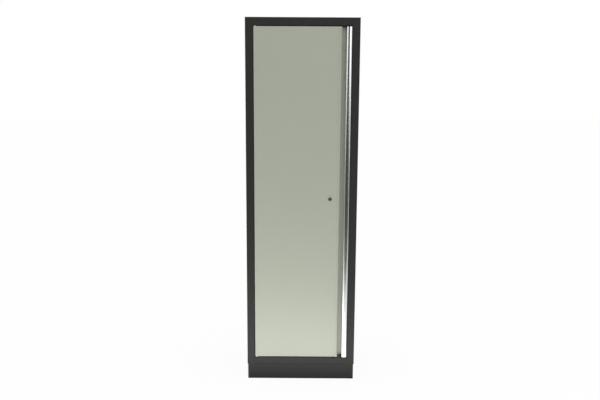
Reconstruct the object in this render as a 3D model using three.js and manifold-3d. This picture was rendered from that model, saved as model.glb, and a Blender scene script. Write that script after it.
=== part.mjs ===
// Tall one-door workshop locker in folded sheet steel, with an extruded aluminium pull and a rod lock.
// Millimetres, +Z up, front of the locker towards -Y, origin on the floor under the middle of the whole.

import * as THREE from 'three';
import { mergeVertices } from 'three/addons/utils/BufferGeometryUtils.js';
import Module from 'manifold-3d';

const wasm = await Module();
wasm.setup();

// Carcass
const WIDTH = 600;
const DEPTH = 460;
const HEIGHT = 2000;
const SHEET = 1.2;
const BEND = 1.5;
const SEAT = 0.3;
const STILE = 41;
const TOP_RAIL = 42;
const BOTTOM_RAIL = 41;
const BOTTOM_RAIL_RETURN = 25;
const REAR_FLANGE = 20;
const SIDE_FLANGE = 22;
const STOP_LIP = 22;

// Plinth
const PLINTH_HEIGHT = 90;
const PLINTH_SIDE_INSET = 3;
const PLINTH_SETBACK = 5;
const PLINTH_FLANGE = 25;

// Door
const DOOR_SIDE_GAP = 3;
const DOOR_TOP_GAP = 4;
const DOOR_BOTTOM_GAP = 3;
const DOOR_SHEET = 1.2;
const DOOR_THICKNESS = 24;
const DOOR_EDGE_RADIUS = 3;
const DOOR_LIP = 14;
const STIFFENER_WIDTH = 40;
const STIFFENER_FLANGE = 18;
const STIFFENER_DEPTH = 16;
const STIFFENER_END_GAP = 12;

// Handle: a painted channel folded from sheet, and a bright extruded grip over its outer wall
const HANDLE_WIDTH = 62;
const HANDLE_RIM = 11;
const HANDLE_DEPTH = 24;
const HANDLE_SHEET = 1.5;
const HANDLE_BEND = 7;
const HANDLE_GRIP = 26;
const HANDLE_GRIP_THICKNESS = 3;
const HANDLE_GRIP_WALL = 2;
const HANDLE_GRIP_WALL_DEPTH = 14;
const HANDLE_PROUD = 4;
const HANDLE_CAP_THICKNESS = 4;

// Hinges
const HINGE_INSET = 9;
const HINGE_SETBACK = 8.5;
const HINGE_PIN_RADIUS = 3;
const HINGE_PIN_LENGTH = 26;
const HINGE_PIN_HEAD_RADIUS = 5;
const HINGE_PIN_HEAD = 3;
const HINGE_PIN_CHAMFER = 1;
const HINGE_PIN_PLAY = 0.15;
const HINGE_BUSH_RADIUS = 4.2;
const HINGE_BUSH_LENGTH = 12;
const HINGE_BUSH_FLANGE_RADIUS = 6.5;
const HINGE_TOP_WASHER = 1.7;
const HINGE_BRACKET_SHEET = 2;
const HINGE_BRACKET_WIDTH = 18;
const HINGE_BRACKET_REACH = 42;
const HINGE_BRACKET_HEIGHT = 36;

// Lock
const LOCK_FROM_EDGE = 103;
const LOCK_ABOVE_DOOR_FOOT = 908;
const LOCK_PROUD = 3.5;
const LOCK_BEZEL_RADIUS = 10.5;
const LOCK_BEZEL_CHAMFER = 1.2;
const LOCK_BARREL_RADIUS = 9;
const LOCK_BARREL_LENGTH = 13;
const LOCK_PLUG_RADIUS = 6;
const LOCK_PLUG_PLAY = 0.2;
const LOCK_PLUG_RECESS = 0.4;
const LOCK_PLUG_SQUARE = 6;
const LOCK_NUT_FLATS = 24;
const LOCK_NUT_THICKNESS = 5;
const KEY_SLOT_WIDTH = 1.8;
const KEY_SLOT_HEIGHT = 8;
const KEY_SLOT_DEPTH = 10;
const LOCK_TURN = Math.PI / 2;

// Rod drive
const DRIVER_THICKNESS = 2;
const DRIVER_HALF_WIDTH = 6;
const DRIVER_PIN_REACH = 16;
const DRIVER_PIN_RADIUS = 2.5;
const DRIVER_PIN_PLAY = 0.8;
const DRIVER_PIN_SPARE = 1;
const DRIVER_SCREW_HEAD_RADIUS = 4;
const DRIVER_SCREW_HEAD = 2;
const DRIVER_SCREW_RADIUS = 1.8;
const DRIVER_SCREW_LENGTH = 6;
const ROD_WIDTH = 12;
const ROD_THICKNESS = 3;
const ROD_PLAY = 0.3;
const ROD_STAND_OFF = 0.7;
const ROD_TIP_CHAMFER = 3;
const ROD_END_INSET = 3;
const PADDLE_WALL = 3;
const PADDLE_NECK = 8;
const GUIDE_SHEET = 1.5;
const GUIDE_WIDTH = 26;
const GUIDE_FOOT = 18;
const GUIDE_FROM_LOCK = 150;
const GUIDE_FROM_DOOR_END = 70;
const KEEPER_CLEARANCE = 1.5;

// Door stop and catch
const BUFFER_RADIUS = 4;
const BUFFER_THICKNESS = 5.4;
const BUFFER_CHAMFER = 1;
const BUFFER_FROM_DOOR_END = 200;
const STOP_PIECE_FROM_LIP_EDGE = 6;
const MAGNET_HEIGHT = 50;
const MAGNET_WIDTH = 10;
const MAGNET_ABOVE_LOCK = 220;
const STRIKE_THICKNESS = 1.5;

// Shelving
const UPRIGHT_WIDTH = 30;
const UPRIGHT_DEPTH = 12;
const UPRIGHT_FRONT_GAP = 50;
const UPRIGHT_REAR_GAP = 30;
const UPRIGHT_FOOT_GAP = 8;
const UPRIGHT_HEAD_GAP = 18;
const SLOT_PITCH = 50;
const SLOT_FIRST = 40;
const SLOT_HEIGHT = 5;
const SLOT_WIDTH = 16;
const CLIP_SHEET = 1.5;
const CLIP_BEND = 0.6;
const CLIP_SIDE_PLAY = 1;
const CLIP_LEDGE = 17;
const CLIP_DROP = 15;
const CLIP_HOOK = 5;
const SHELF_COUNT = 4;
const SHELF_SIDE_PLAY = 1;
const SHELF_FRONT_GAP = 40;
const SHELF_REAR_GAP = 8;
const SHELF_FLANGE = 25;
const SHELF_LIP = 14;

// Facets of a quarter-turn bend and of a full round, and how far a cutter reaches past a face
const BEND_STEPS = 3;
const ROUND_STEPS = 24;
const CUT_PAST = 1;

// Places worked out from the driving dimensions
const HALF = WIDTH / 2;
const FRONT = (Math.max(HANDLE_PROUD, LOCK_PROUD) - DEPTH) / 2;
const BACK = FRONT + DEPTH;
const OPENING_HALF = HALF - STILE;
const FLOOR_TOP = PLINTH_HEIGHT + BOTTOM_RAIL;
const RAIL_UNDERSIDE = HEIGHT - TOP_RAIL;
const WALL_INNER = HALF - SHEET - SEAT;
const BACK_PANEL_FRONT = BACK - 2 * SHEET - SEAT;

const DOOR_LEFT = -OPENING_HALF + DOOR_SIDE_GAP;
const DOOR_RIGHT = OPENING_HALF - DOOR_SIDE_GAP;
const DOOR_FOOT = FLOOR_TOP + DOOR_BOTTOM_GAP;
const DOOR_HEAD = RAIL_UNDERSIDE - DOOR_TOP_GAP;
const HANDLE_LEFT = DOOR_RIGHT - HANDLE_WIDTH;
const PAN_RIGHT = HANDLE_LEFT + HANDLE_RIM - HANDLE_BEND - HANDLE_SHEET + DOOR_EDGE_RADIUS;
const SKIN_INNER = FRONT + DOOR_SHEET + SEAT;
const STOP_FACE = FRONT + HANDLE_DEPTH + BUFFER_THICKNESS + 2 * SEAT;

const HINGE_X = DOOR_LEFT + HINGE_INSET;
const HINGE_Y = FRONT + HINGE_SETBACK;

const LOCK_X = DOOR_RIGHT - LOCK_FROM_EDGE;
const LOCK_Z = DOOR_FOOT + LOCK_ABOVE_DOOR_FOOT;
const DRIVER_FRONT = FRONT + LOCK_BARREL_LENGTH + SEAT;
const DRIVER_BACK = DRIVER_FRONT + DRIVER_THICKNESS;
const ROD_FRONT = DRIVER_BACK + ROD_STAND_OFF;
const ROD_BACK = ROD_FRONT + ROD_THICKNESS;
const PIN_NEAR = DRIVER_PIN_REACH * Math.cos(LOCK_TURN / 2);
const PIN_RISE = DRIVER_PIN_REACH * Math.sin(LOCK_TURN / 2);
const ROD_OFFSET = (PIN_NEAR + DRIVER_PIN_REACH) / 2;

const UPRIGHT_FACE = WALL_INNER - UPRIGHT_DEPTH;
const FRONT_UPRIGHT_Y = FRONT + UPRIGHT_FRONT_GAP + UPRIGHT_WIDTH / 2;
const REAR_UPRIGHT_Y = BACK_PANEL_FRONT - UPRIGHT_REAR_GAP - UPRIGHT_WIDTH / 2;
const UPRIGHT_FOOT = FLOOR_TOP + UPRIGHT_FOOT_GAP;
const UPRIGHT_HEAD = RAIL_UNDERSIDE - UPRIGHT_HEAD_GAP;
const SLOT_COUNT = Math.floor((UPRIGHT_HEAD - UPRIGHT_FOOT - SLOT_FIRST) / SLOT_PITCH);

// Finishes
function finish(color, roughness, metalness) {
  return new THREE.MeshStandardMaterial({ color, roughness, metalness });
}

const charcoalPaint = finish(0x3a3a39, 0.5, 0.1);
const silverPaint = finish(0xa6aa9c, 0.45, 0.15);
const brightAluminium = finish(0xc9ccca, 0.25, 0.9);
const blackPlastic = finish(0x161616, 0.6, 0);
const zincSteel = finish(0x9fa3a6, 0.4, 0.8);
const darkNickel = finish(0x3b3c38, 0.35, 0.8);
const whiteNylon = finish(0xd9d8d0, 0.6, 0);
const blackRubber = finish(0x1b1b1b, 0.85, 0);

// A closed solid from any closed geometry, its shared corners merged and its slivers dropped
function solid(geometry) {
  const bare = geometry.clone();
  bare.deleteAttribute('normal');
  bare.deleteAttribute('uv');
  const merged = mergeVertices(bare, 1e-4);
  const corners = merged.index.array;
  const kept = [];
  for (let i = 0; i < corners.length; i += 3) {
    const [a, b, c] = corners.slice(i, i + 3);
    if (a !== b && b !== c && c !== a) kept.push(a, b, c);
  }
  const mesh = new wasm.Mesh({
    numProp: 3,
    vertProperties: Float32Array.from(merged.attributes.position.array),
    triVerts: Uint32Array.from(kept),
  });
  return new wasm.Manifold(mesh);
}

function join(first, ...others) {
  return others.reduce((whole, other) => whole.add(other), first);
}

function cut(first, ...tools) {
  return tools.reduce((whole, tool) => whole.subtract(tool), first);
}

function piece(name, body, material) {
  const mesh = body.getMesh();
  const geometry = new THREE.BufferGeometry();
  geometry.setAttribute('position', new THREE.BufferAttribute(Float32Array.from(mesh.vertProperties), 3));
  geometry.setIndex(new THREE.BufferAttribute(Uint32Array.from(mesh.triVerts), 1));
  const faceted = geometry.toNonIndexed();
  faceted.computeVertexNormals();
  const part = new THREE.Mesh(faceted, material);
  part.name = name;
  return part;
}

function block([x0, x1], [y0, y1], [z0, z1]) {
  const geometry = new THREE.BoxGeometry(x1 - x0, y1 - y0, z1 - z0);
  geometry.translate((x0 + x1) / 2, (y0 + y1) / 2, (z0 + z1) / 2);
  return solid(geometry);
}

// Profiles are drawn in the plane square to their run: X,Y for a run along z, Y,Z along x and X,Z along y
const X_AXIS = new THREE.Vector3(1, 0, 0);
const Y_AXIS = new THREE.Vector3(0, 1, 0);
const Z_AXIS = new THREE.Vector3(0, 0, 1);
const PROFILE_PLANES = {
  x: new THREE.Matrix4().makeBasis(Y_AXIS, Z_AXIS, X_AXIS),
  y: new THREE.Matrix4().makeBasis(X_AXIS, Z_AXIS, Y_AXIS.clone().negate()),
  z: new THREE.Matrix4(),
};

function extrude(shape, run, from, to) {
  const geometry = new THREE.ExtrudeGeometry(shape, {
    depth: to - from,
    bevelEnabled: false,
    curveSegments: ROUND_STEPS / 2,
  });
  geometry.applyMatrix4(PROFILE_PLANES[run]);
  const start = run === 'y' ? to : from;
  const shift = { x: X_AXIS, y: Y_AXIS, z: Z_AXIS }[run].clone().multiplyScalar(start);
  geometry.translate(shift.x, shift.y, shift.z);
  return solid(geometry);
}

function roundBar(radius, run, from, to, [a, b]) {
  const shape = new THREE.Shape();
  shape.absarc(a, b, radius, 0, 2 * Math.PI);
  return extrude(shape, run, from, to);
}

function turned(profile, run, centre) {
  const points = profile.map(([radius, height]) => new THREE.Vector2(radius, height));
  const geometry = new THREE.LatheGeometry(points, ROUND_STEPS);
  if (run === 'z') geometry.rotateX(Math.PI / 2);
  geometry.translate(...centre);
  return solid(geometry);
}

function polygon(points) {
  return new THREE.Shape(points.map(([a, b]) => new THREE.Vector2(a, b)));
}

function arc([a, b], radius, from, to, steps) {
  return Array.from({ length: steps + 1 }, (_, i) => {
    const angle = from + ((to - from) * i) / steps;
    return [a + radius * Math.cos(angle), b + radius * Math.sin(angle)];
  });
}

// The section of a folded sheet: the path is one skin, and the metal lies to the right of its run
function foldedSheet(path, sheet = SHEET, bend = BEND, steps = BEND_STEPS) {
  const skin = path.map(([a, b]) => new THREE.Vector2(a, b));
  const near = [];
  const far = [];
  skin.forEach((corner, i) => {
    const before = i > 0 && corner.clone().sub(skin[i - 1]).normalize();
    const after = i < skin.length - 1 && skin[i + 1].clone().sub(corner).normalize();
    if (!before || !after) {
      const along = before || after;
      near.push(corner);
      far.push(new THREE.Vector2(along.y, -along.x).multiplyScalar(sheet).add(corner));
      return;
    }
    const side = before.cross(after) < 0 ? 1 : -1;
    const angle = Math.acos(before.dot(after));
    const radius = side > 0 ? bend + sheet : bend;
    const inward = new THREE.Vector2(before.y, -before.x).multiplyScalar(side);
    const centre = corner.clone().addScaledVector(before, -radius * Math.tan(angle / 2));
    centre.addScaledVector(inward, radius);
    const start = Math.atan2(-inward.y, -inward.x);
    for (let step = 0; step <= steps; step += 1) {
      const turn = start - (side * angle * step) / steps;
      const spoke = new THREE.Vector2(Math.cos(turn), Math.sin(turn));
      near.push(centre.clone().addScaledVector(spoke, radius));
      far.push(centre.clone().addScaledVector(spoke, radius - side * sheet));
    }
  });
  return new THREE.Shape([...near, ...far.reverse()]);
}

// The same path on the other side of the locker, run the other way so that the metal stays inside
function mirrored(path) {
  return path.map(([x, b]) => [-x, b]).reverse();
}

// A block between the given limits whose face towards -Y has its four edges rounded over
function roundedBlock([x0, x1], [y0, y1], [z0, z1], radius) {
  const section = (from, to) => [
    [from, y1],
    ...arc([from + radius, y0 + radius], radius, Math.PI, 1.5 * Math.PI, BEND_STEPS),
    ...arc([to - radius, y0 + radius], radius, 1.5 * Math.PI, 2 * Math.PI, BEND_STEPS),
    [to, y1],
  ];
  const plan = extrude(polygon(section(x0, x1)), 'z', z0, z1);
  const side = polygon(section(z0, z1).map(([z, y]) => [y, z]));
  return plan.intersect(extrude(side, 'x', x0, x1));
}

// A sheet folded back on four sides, its face towards -Y, with a lip turned in along every wall
function foldedPan([x0, x1], [y0, y1], [z0, z1], sheet, radius, lip) {
  const outside = roundedBlock([x0, x1], [y0, y1], [z0, z1], radius);
  const inside = roundedBlock(
    [x0 + sheet, x1 - sheet],
    [y0 + sheet, y1 - sheet],
    [z0 + sheet, z1 - sheet],
    radius - sheet,
  );
  const mouth = block([x0 + lip, x1 - lip], [(y0 + y1) / 2, y1 + CUT_PAST], [z0 + lip, z1 - lip]);
  return cut(outside, inside, mouth);
}

// A bar with round ends between two centres
function stadium([a0, b0], [a1, b1], radius) {
  const heading = Math.atan2(b1 - b0, a1 - a0);
  const quarter = Math.PI / 2;
  return [
    ...arc([a1, b1], radius, heading - quarter, heading + quarter, ROUND_STEPS / 2),
    ...arc([a0, b0], radius, heading + quarter, heading + 3 * quarter, ROUND_STEPS / 2),
  ];
}

// What a rod sweeps between two levels, made larger all round by the given play
function rodHole(x, play, [z0, z1]) {
  return block(
    [x - ROD_WIDTH / 2 - play, x + ROD_WIDTH / 2 + play],
    [ROD_FRONT - play, ROD_BACK + play],
    [z0, z1],
  );
}

function hingeHole(radius, [z0, z1]) {
  return roundBar(radius, 'z', z0, z1, [HINGE_X, HINGE_Y]);
}

// Side panels: stop lip, stile return, stile, side wall and rear flange folded from one sheet
const WALL_PATH = [
  [STOP_LIP - OPENING_HALF, STOP_FACE],
  [-OPENING_HALF, STOP_FACE],
  [-OPENING_HALF, FRONT],
  [-HALF, FRONT],
  [-HALF, BACK],
  [-HALF + REAR_FLANGE, BACK],
];

// The lip stops short of the floor panel and of the top rail
function sidePanel(path) {
  const folded = extrude(foldedSheet(path), 'z', PLINTH_HEIGHT, HEIGHT - SHEET - SEAT);
  const lipX = [-OPENING_HALF - SHEET - CUT_PAST, OPENING_HALF + SHEET + CUT_PAST];
  const lipY = [STOP_FACE - BEND - SHEET, STOP_FACE + SHEET + CUT_PAST];
  const foot = block(lipX, lipY, [PLINTH_HEIGHT - CUT_PAST, FLOOR_TOP + SEAT]);
  const head = block(lipX, lipY, [RAIL_UNDERSIDE - SEAT, HEIGHT]);
  return cut(folded, foot, head);
}

function backPanel() {
  return block(
    [BEND - WALL_INNER, WALL_INNER - BEND],
    [BACK_PANEL_FRONT, BACK_PANEL_FRONT + SHEET],
    [FLOOR_TOP + SEAT, HEIGHT - SHEET - BEND - SEAT],
  );
}

// Both corners of a panel, cut away on the left and on the right
function cornerNotches(inner, limitsY, limitsZ) {
  const outer = HALF + CUT_PAST;
  return [block([inner, outer], limitsY, limitsZ), block([-outer, -inner], limitsY, limitsZ)];
}

// A flange turned down along each side wall
function sideFlanges(under, limitsY) {
  const limitsZ = [under - SIDE_FLANGE, under + SHEET / 2];
  return [
    block([WALL_INNER - SHEET, WALL_INNER], limitsY, limitsZ),
    block([-WALL_INNER, SHEET - WALL_INNER], limitsY, limitsZ),
  ];
}

const REAR_NOTCH = HALF - REAR_FLANGE - SEAT;
const FLANGE_RUN = [STOP_FACE + SIDE_FLANGE, BACK_PANEL_FRONT - SIDE_FLANGE];

// Top panel: laps over the side panels, with the top rail folded down between the stiles
function topPanel() {
  const under = HEIGHT - SHEET;
  const section = foldedSheet([
    [STOP_FACE - SEAT, RAIL_UNDERSIDE],
    [FRONT, RAIL_UNDERSIDE],
    [FRONT, HEIGHT],
    [BACK, HEIGHT],
    [BACK, HEIGHT - REAR_FLANGE],
  ]);
  const below = [RAIL_UNDERSIDE - CUT_PAST, under];
  const holeSpan = [RAIL_UNDERSIDE - CUT_PAST, RAIL_UNDERSIDE + SHEET + CUT_PAST];
  const notched = cut(
    extrude(section, 'x', -HALF, HALF),
    ...cornerNotches(OPENING_HALF - SEAT, [FRONT - CUT_PAST, STOP_FACE], below),
    ...cornerNotches(REAR_NOTCH, [BACK_PANEL_FRONT, BACK + CUT_PAST], below),
    hingeHole(HINGE_PIN_RADIUS + SEAT, holeSpan),
    rodHole(LOCK_X - ROD_OFFSET, KEEPER_CLEARANCE, holeSpan),
  );
  return join(notched, ...sideFlanges(under, FLANGE_RUN));
}

// Floor panel: between the side walls, with the bottom rail folded down in front
function floorPanel() {
  const section = foldedSheet([
    [FRONT + BOTTOM_RAIL_RETURN, PLINTH_HEIGHT],
    [FRONT, PLINTH_HEIGHT],
    [FRONT, FLOOR_TOP],
    [BACK, FLOOR_TOP],
    [BACK, PLINTH_HEIGHT],
  ]);
  const through = [PLINTH_HEIGHT - CUT_PAST, FLOOR_TOP + CUT_PAST];
  const holeSpan = [FLOOR_TOP - SHEET - CUT_PAST, FLOOR_TOP + CUT_PAST];
  const stileBack = STOP_FACE + SHEET + SEAT;
  const notched = cut(
    extrude(section, 'x', -WALL_INNER, WALL_INNER),
    ...cornerNotches(OPENING_HALF - SEAT, [FRONT - CUT_PAST, stileBack], through),
    ...cornerNotches(REAR_NOTCH, [BACK - SHEET - BEND - SEAT, BACK + CUT_PAST], through),
    hingeHole(HINGE_PIN_RADIUS + SEAT, holeSpan),
    rodHole(LOCK_X + ROD_OFFSET, KEEPER_CLEARANCE, holeSpan),
  );
  return join(notched, ...sideFlanges(FLOOR_TOP - SHEET, FLANGE_RUN));
}

// Plinth: four channels, the end pair between the front and back ones
const PLINTH_TOP = PLINTH_HEIGHT - SEAT;
const PLINTH_SIDE = HALF - PLINTH_SIDE_INSET;
const PLINTH_FRONT = FRONT + PLINTH_SETBACK;
const PLINTH_BACK = BACK - PLINTH_SETBACK;

function plinthLongRail(face, inward) {
  const path = [
    [face + inward * PLINTH_FLANGE, 0],
    [face, 0],
    [face, PLINTH_TOP],
    [face + inward * PLINTH_FLANGE, PLINTH_TOP],
  ];
  const section = foldedSheet(inward > 0 ? path : path.reverse());
  const flangeLimits = [face + inward * (SHEET + SEAT), face + inward * (PLINTH_FLANGE + CUT_PAST)];
  const notches = cornerNotches(
    PLINTH_SIDE - PLINTH_FLANGE - SEAT,
    flangeLimits.sort((a, b) => a - b),
    [-CUT_PAST, PLINTH_TOP + CUT_PAST],
  );
  return cut(extrude(section, 'x', -PLINTH_SIDE, PLINTH_SIDE), ...notches);
}

const PLINTH_END_PATH = [
  [-PLINTH_SIDE + PLINTH_FLANGE, 0],
  [-PLINTH_SIDE, 0],
  [-PLINTH_SIDE, PLINTH_TOP],
  [-PLINTH_SIDE + PLINTH_FLANGE, PLINTH_TOP],
];

function plinthEndRail(path) {
  const inset = SHEET + 2 * SEAT;
  return extrude(foldedSheet(path), 'y', PLINTH_FRONT + inset, PLINTH_BACK - inset);
}

// Shelf uprights: channels open to the side wall, with a row of slots for the shelf clips
function slotBottom(index) {
  return UPRIGHT_FOOT + SLOT_FIRST + index * SLOT_PITCH;
}

function upright(side, y) {
  const path = [
    [-WALL_INNER, y + UPRIGHT_WIDTH / 2],
    [-UPRIGHT_FACE, y + UPRIGHT_WIDTH / 2],
    [-UPRIGHT_FACE, y - UPRIGHT_WIDTH / 2],
    [-WALL_INNER, y - UPRIGHT_WIDTH / 2],
  ];
  const channel = extrude(foldedSheet(side < 0 ? path : mirrored(path)), 'z', UPRIGHT_FOOT, UPRIGHT_HEAD);
  const web = [side * UPRIGHT_FACE - SHEET - CUT_PAST, side * UPRIGHT_FACE + SHEET + CUT_PAST];
  const slots = Array.from({ length: SLOT_COUNT }, (_, index) => block(
    web,
    [y - SLOT_WIDTH / 2, y + SLOT_WIDTH / 2],
    [slotBottom(index), slotBottom(index) + SLOT_HEIGHT],
  ));
  return cut(channel, ...slots);
}

// Shelf clips: one bent strip with a hook behind the upright, a back and a ledge
function shelfSlot(shelf) {
  return Math.round((SLOT_COUNT * (shelf + 1)) / (SHELF_COUNT + 1)) - 1;
}

function clipTongue(shelf) {
  return slotBottom(shelfSlot(shelf)) + SEAT;
}

function shelfClip(side, y, shelf) {
  const tongue = clipTongue(shelf);
  const ledge = tongue - CLIP_DROP;
  const hookX = -UPRIGHT_FACE - SHEET - SEAT - CLIP_SHEET;
  const path = [
    [-UPRIGHT_FACE + CLIP_LEDGE, ledge],
    [-UPRIGHT_FACE + SEAT, ledge],
    [-UPRIGHT_FACE + SEAT, tongue],
    [hookX, tongue],
    [hookX, tongue + CLIP_HOOK],
  ];
  const section = foldedSheet(side < 0 ? path : mirrored(path), CLIP_SHEET, CLIP_BEND);
  const half = SLOT_WIDTH / 2 - CLIP_SIDE_PLAY;
  return extrude(section, 'y', y - half, y + half);
}

// Shelves: a pan turned face up, its lips on the ledges of four clips
const SHELF_HALF = UPRIGHT_FACE - SEAT - CLIP_SHEET - SHELF_SIDE_PLAY;
const SHELF_FRONT = FRONT + SHELF_FRONT_GAP;
const SHELF_BACK = BACK_PANEL_FRONT - SHELF_REAR_GAP;

function shelf(index) {
  const pan = foldedPan(
    [-SHELF_HALF, SHELF_HALF],
    [0, SHELF_FLANGE],
    [SHELF_FRONT, SHELF_BACK],
    SHEET,
    BEND + SHEET,
    SHELF_LIP,
  );
  const mesh = piece(`shelf_${index + 1}`, pan, charcoalPaint);
  mesh.rotation.x = -Math.PI / 2;
  mesh.position.z = clipTongue(index) - CLIP_DROP + CLIP_SHEET + SEAT + SHELF_FLANGE;
  return mesh;
}

// Hinge pins: headed pins through the top rail and the floor panel
function topHingePin() {
  const seat = RAIL_UNDERSIDE + SHEET + SEAT;
  const tip = seat - HINGE_PIN_LENGTH;
  const profile = [
    [0, tip],
    [HINGE_PIN_RADIUS - HINGE_PIN_CHAMFER, tip],
    [HINGE_PIN_RADIUS, tip + HINGE_PIN_CHAMFER],
    [HINGE_PIN_RADIUS, seat],
    [HINGE_PIN_HEAD_RADIUS, seat],
    [HINGE_PIN_HEAD_RADIUS, seat + HINGE_PIN_HEAD],
    [0, seat + HINGE_PIN_HEAD],
  ];
  return turned(profile, 'z', [HINGE_X, HINGE_Y, 0]);
}

function bottomHingePin() {
  const seat = FLOOR_TOP - SHEET - SEAT;
  const tip = seat + HINGE_PIN_LENGTH;
  const profile = [
    [0, seat - HINGE_PIN_HEAD],
    [HINGE_PIN_HEAD_RADIUS, seat - HINGE_PIN_HEAD],
    [HINGE_PIN_HEAD_RADIUS, seat],
    [HINGE_PIN_RADIUS, seat],
    [HINGE_PIN_RADIUS, tip - HINGE_PIN_CHAMFER],
    [HINGE_PIN_RADIUS - HINGE_PIN_CHAMFER, tip],
    [0, tip],
  ];
  return turned(profile, 'z', [HINGE_X, HINGE_Y, 0]);
}

// Hinge bushes: flanged nylon sleeves in the door, the lower flange carrying the door on the floor panel
function topHingeBush() {
  const bore = HINGE_PIN_RADIUS + HINGE_PIN_PLAY;
  const seat = DOOR_HEAD + SEAT;
  const profile = [
    [bore, seat - HINGE_BUSH_LENGTH],
    [HINGE_BUSH_RADIUS, seat - HINGE_BUSH_LENGTH],
    [HINGE_BUSH_RADIUS, seat],
    [HINGE_BUSH_FLANGE_RADIUS, seat],
    [HINGE_BUSH_FLANGE_RADIUS, seat + HINGE_TOP_WASHER],
    [bore, seat + HINGE_TOP_WASHER],
    [bore, seat - HINGE_BUSH_LENGTH],
  ];
  return turned(profile, 'z', [HINGE_X, HINGE_Y, 0]);
}

function bottomHingeBush() {
  const bore = HINGE_PIN_RADIUS + HINGE_PIN_PLAY;
  const rest = FLOOR_TOP + SEAT;
  const seat = DOOR_FOOT - SEAT;
  const profile = [
    [bore, rest],
    [HINGE_BUSH_FLANGE_RADIUS, rest],
    [HINGE_BUSH_FLANGE_RADIUS, seat],
    [HINGE_BUSH_RADIUS, seat],
    [HINGE_BUSH_RADIUS, seat + HINGE_BUSH_LENGTH],
    [bore, seat + HINGE_BUSH_LENGTH],
    [bore, rest],
  ];
  return turned(profile, 'z', [HINGE_X, HINGE_Y, 0]);
}

// Hinge brackets: angles in the door's two hinge corners that back up the thin skin
function hingeBracket(end) {
  const left = DOOR_LEFT + DOOR_SHEET + SEAT;
  const level = end > 0 ? DOOR_HEAD - DOOR_SHEET - SEAT : DOOR_FOOT + DOOR_SHEET + SEAT;
  const path = [
    [left, level - end * HINGE_BRACKET_HEIGHT],
    [left, level],
    [left + HINGE_BRACKET_REACH, level],
  ];
  const section = foldedSheet(end > 0 ? path : path.reverse(), HINGE_BRACKET_SHEET);
  const edge = FRONT + DOOR_EDGE_RADIUS + SEAT;
  const angle = extrude(section, 'y', edge, edge + HINGE_BRACKET_WIDTH);
  const span = HINGE_BRACKET_SHEET + CUT_PAST;
  return cut(angle, hingeHole(HINGE_BUSH_RADIUS + SEAT, [level - span, level + span]));
}

// Door skin: one pan from the hinge edge to the handle, with holes for the lock, the rods and the hinges
function doorSkin() {
  const pan = foldedPan(
    [DOOR_LEFT, PAN_RIGHT],
    [FRONT, FRONT + DOOR_THICKNESS],
    [DOOR_FOOT, DOOR_HEAD],
    DOOR_SHEET,
    DOOR_EDGE_RADIUS,
    DOOR_LIP,
  );
  const head = [DOOR_HEAD - DOOR_SHEET - CUT_PAST, DOOR_HEAD + CUT_PAST];
  const foot = [DOOR_FOOT - CUT_PAST, DOOR_FOOT + DOOR_SHEET + CUT_PAST];
  return cut(
    pan,
    roundBar(LOCK_BARREL_RADIUS + SEAT, 'y', FRONT - CUT_PAST, SKIN_INNER + CUT_PAST, [LOCK_X, LOCK_Z]),
    rodHole(LOCK_X - ROD_OFFSET, ROD_PLAY, head),
    rodHole(LOCK_X + ROD_OFFSET, ROD_PLAY, foot),
    hingeHole(HINGE_BUSH_RADIUS + SEAT, head),
    hingeHole(HINGE_BUSH_RADIUS + SEAT, foot),
  );
}

// Door stiffener: a hat section up the middle of the pan
function doorStiffener() {
  const middle = (DOOR_LEFT + PAN_RIGHT) / 2;
  const foot = SKIN_INNER + SHEET;
  const crown = SKIN_INNER + STIFFENER_DEPTH;
  const half = STIFFENER_WIDTH / 2;
  const section = foldedSheet([
    [middle - half - STIFFENER_FLANGE, foot],
    [middle - half, foot],
    [middle - half, crown],
    [middle + half, crown],
    [middle + half, foot],
    [middle + half + STIFFENER_FLANGE, foot],
  ]);
  const inset = DOOR_LIP + STIFFENER_END_GAP;
  return extrude(section, 'z', DOOR_FOOT + inset, DOOR_HEAD - inset);
}

// Handle section, measured across from the rim's edge and back from the door's face
const GRIP_CHORD = HANDLE_GRIP - HANDLE_GRIP_THICKNESS / 2;
const GRIP_RADIUS = (GRIP_CHORD * GRIP_CHORD) / (8 * HANDLE_PROUD) + HANDLE_PROUD / 2;
const GRIP_UNDER = GRIP_RADIUS - HANDLE_GRIP_THICKNESS;
const GRIP_CENTRE = [HANDLE_WIDTH - GRIP_CHORD / 2, GRIP_RADIUS - HANDLE_PROUD];
const GRIP_HALF_ANGLE = Math.asin(GRIP_CHORD / 2 / GRIP_RADIUS);
const GRIP_TIP = -Math.PI / 2 - GRIP_HALF_ANGLE;
const GRIP_TIP_CENTRE = arc(GRIP_CENTRE, GRIP_RADIUS - HANDLE_GRIP_THICKNESS / 2, GRIP_TIP, GRIP_TIP, 1)[0];
const GRIP_WALL = HANDLE_WIDTH - HANDLE_GRIP_WALL;
const GRIP_WALL_ANGLE = Math.asin((GRIP_WALL - GRIP_CENTRE[0]) / GRIP_UNDER) - Math.PI / 2;
const GRIP_WALL_HEAD = GRIP_CENTRE[1] + GRIP_UNDER * Math.sin(GRIP_WALL_ANGLE);
const GRIP_STEPS = 10;
const CHANNEL_RIGHT = GRIP_WALL - SEAT - HANDLE_SHEET;
const CHANNEL_FLOOR = HANDLE_DEPTH - HANDLE_SHEET;
const CHANNEL_STEPS = 5;

function onDoorEdge(points) {
  return points.map(([across, back]) => [HANDLE_LEFT + across, FRONT + back]);
}

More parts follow.
